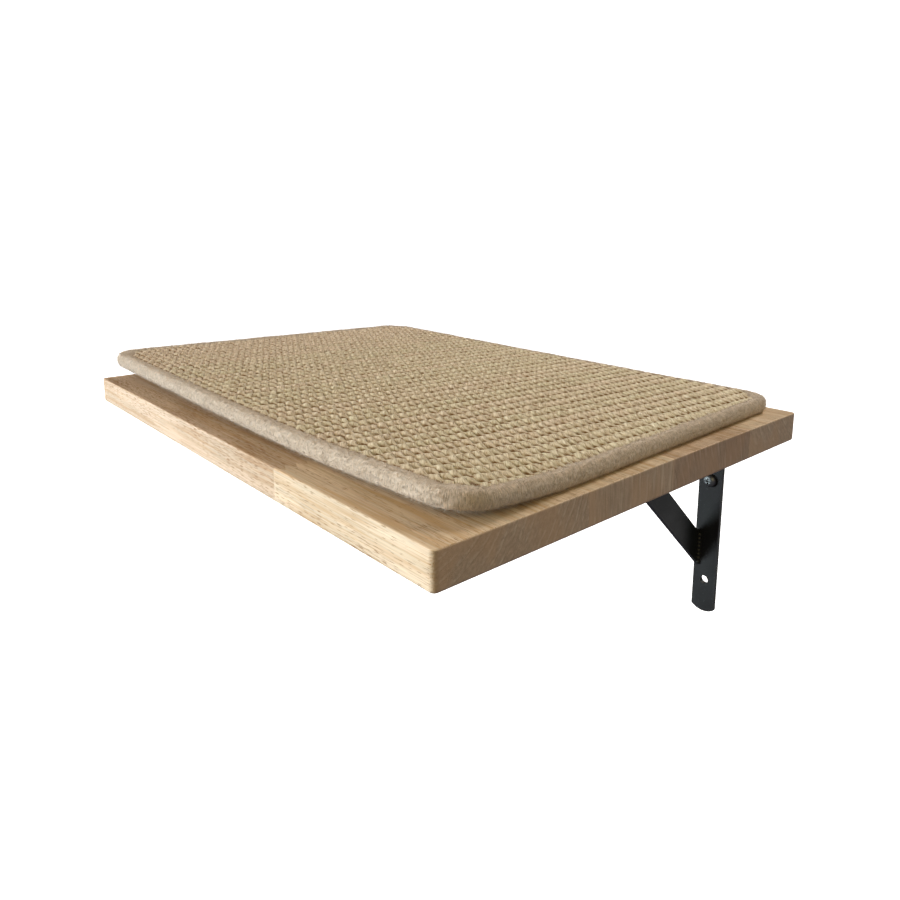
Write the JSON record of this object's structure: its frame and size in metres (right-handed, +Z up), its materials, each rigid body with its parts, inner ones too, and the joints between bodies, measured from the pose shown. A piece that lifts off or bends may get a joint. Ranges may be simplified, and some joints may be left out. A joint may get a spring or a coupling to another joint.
{
  "type": "cat wall shelf",
  "caption": "Rectangular wooden wall shelf for a cat on two welded flat-bar brackets, with a lift-off woven scratching mat edged in plush.",
  "frame": {"origin": "middle of the board's back edge, on the wall plane, at half the board's thickness", "axes": "+X along the wall to the right as seen from the room, +Y into the wall, +Z up"},
  "size_m": [0.4, 0.307, 0.1803],
  "materials": {
    "pale_wood": "oiled, satin",
    "pink_wood": "oiled, satin",
    "black_paint": "fine satin powder coat",
    "zinc_steel": "bright zinc plate",
    "sisal": "coarse woven natural fibre",
    "felt": "needled felt",
    "plush": "short pile",
    "hook_tape": "woven hook tape",
    "loop_tape": "brushed loop tape"
  },
  "bodies": {
    "shelf": {"front_stave_left_block": "pink_wood", "front_stave_right_block": "pale_wood", "second_stave_left_block": "pink_wood", "second_stave_right_block": "pale_wood", "third_stave_left_block": "pale_wood", "third_stave_right_block": "pink_wood", "back_stave_left_block": "pale_wood", "back_stave_right_block": "pale_wood", "left_angle_strip": "black_paint", "left_brace": "black_paint", "left_brace_welds": "black_paint", "left_wall_arm_screw": "zinc_steel", "left_wall_arm_nut": "zinc_steel", "left_board_screws": "zinc_steel", "right_angle_strip": "black_paint", "right_brace": "black_paint", "right_brace_welds": "black_paint", "right_wall_arm_screw": "zinc_steel", "right_wall_arm_nut": "zinc_steel", "right_board_screws": "zinc_steel", "board_hook_pads": "hook_tape"},
    "mat": {"sisal_weave": "sisal", "felt_backing": "felt", "plush_binding": "plush", "mat_loop_pads": "loop_tape"}
  },
  "joints": [
    {"name": "mat_lift", "type": "slide", "parent": "shelf", "child": "mat", "axis": [0, 0, 1], "range_m": [0, 0.15]}
  ]
}
